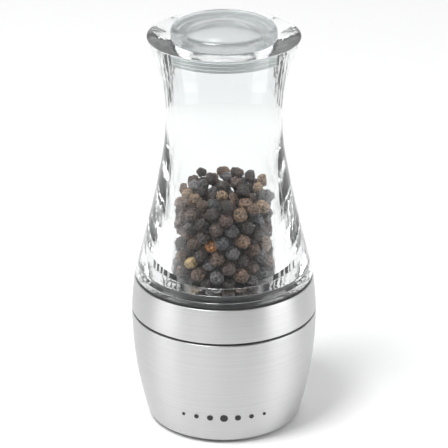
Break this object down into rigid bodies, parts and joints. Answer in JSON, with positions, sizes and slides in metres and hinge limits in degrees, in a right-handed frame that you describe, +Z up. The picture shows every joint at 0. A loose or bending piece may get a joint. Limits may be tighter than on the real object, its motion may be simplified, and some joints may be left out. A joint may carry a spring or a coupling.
{
  "type": "pepper mill",
  "caption": "Waisted clear pepper mill on a brushed steel base, with a lift-out clear stopper and a grind-size ring underneath.",
  "frame": {"origin": "centre of the foot ring's resting face", "axes": "+Z up along the turning axis; -Y is the front, +X to the right seen from the front"},
  "size_m": [0.0642, 0.0642, 0.1445],
  "materials": {
    "clear_acrylic": "polished, clear cast acrylic",
    "frosted_seal": "frosted translucent silicone",
    "brushed_shell": "fine brushing round the axis",
    "black_rubber": "matt black",
    "black_acetal": "satin black",
    "black_moulding": "satin black moulding",
    "plain_steel": "plain turned and pressed steel",
    "spring_steel": "dark spring steel",
    "burr_ceramic": "matt off-white ceramic",
    "bearing_brass": "turned brass",
    "cast_zinc": "die-cast grey zinc alloy",
    "peppercorn": "dry, wrinkled dark brown to black husks"
  },
  "bodies": {
    "base": {"base_shell": "brushed_shell", "foot_ring": "black_rubber", "mechanism_housing": "black_moulding", "shell_clip": "spring_steel", "slip_ring": "black_acetal", "grinder_ring": "burr_ceramic", "burr_retainer": "plain_steel", "retainer_screws": "plain_steel", "click_spring": "spring_steel"},
    "top": {"clear_body": "clear_acrylic", "collar": "brushed_shell", "collar_gasket": "black_rubber", "drive_insert": "black_moulding", "drive_plate": "plain_steel", "insert_clip": "spring_steel", "packed_corns": "peppercorn", "peppercorns": "peppercorn"},
    "stopper": {"stopper_cap": "clear_acrylic", "stopper_seal": "frosted_seal"},
    "adjuster": {"adjuster_ring": "black_acetal"},
    "bridge": {"bearing_bridge": "cast_zinc", "bridge_bearing": "bearing_brass"},
    "drive": {"spindle": "plain_steel", "grinder_cone": "burr_ceramic", "burr_clip": "spring_steel", "spring_washer": "plain_steel", "spindle_nut": "plain_steel", "thrust_washer": "bearing_brass", "grind_spring": "spring_steel"}
  },
  "joints": [
    {"name": "top_turn", "type": "hinge", "parent": "base", "child": "top", "pos_m": [0, 0, 0.0402], "axis": [0, 0, 1], "continuous": true},
    {"name": "stopper_lift", "type": "slide", "parent": "top", "child": "stopper", "axis": [0, 0, 1], "range_m": [0, 0.03]},
    {"name": "adjuster_turn", "type": "hinge", "parent": "base", "child": "adjuster", "pos_m": [0, 0, 0.004], "axis": [0, 0, 1], "range_deg": [0, 150], "deforming": ["click_spring"]},
    {"name": "bridge_lift", "type": "slide", "parent": "base", "child": "bridge", "axis": [0, 0, 1], "range_m": [0, 0.0013]},
    {"name": "burr_lift", "type": "slide", "parent": "top", "child": "drive", "axis": [0, 0, 1], "range_m": [0, 0.0013], "deforming": ["grind_spring"]}
  ],
  "couplings": [
    {"joint": "bridge_lift", "follows": "adjuster_turn", "m_per_rad": 0.00045837},
    {"joint": "burr_lift", "follows": "adjuster_turn", "m_per_rad": 0.00045837}
  ]
}
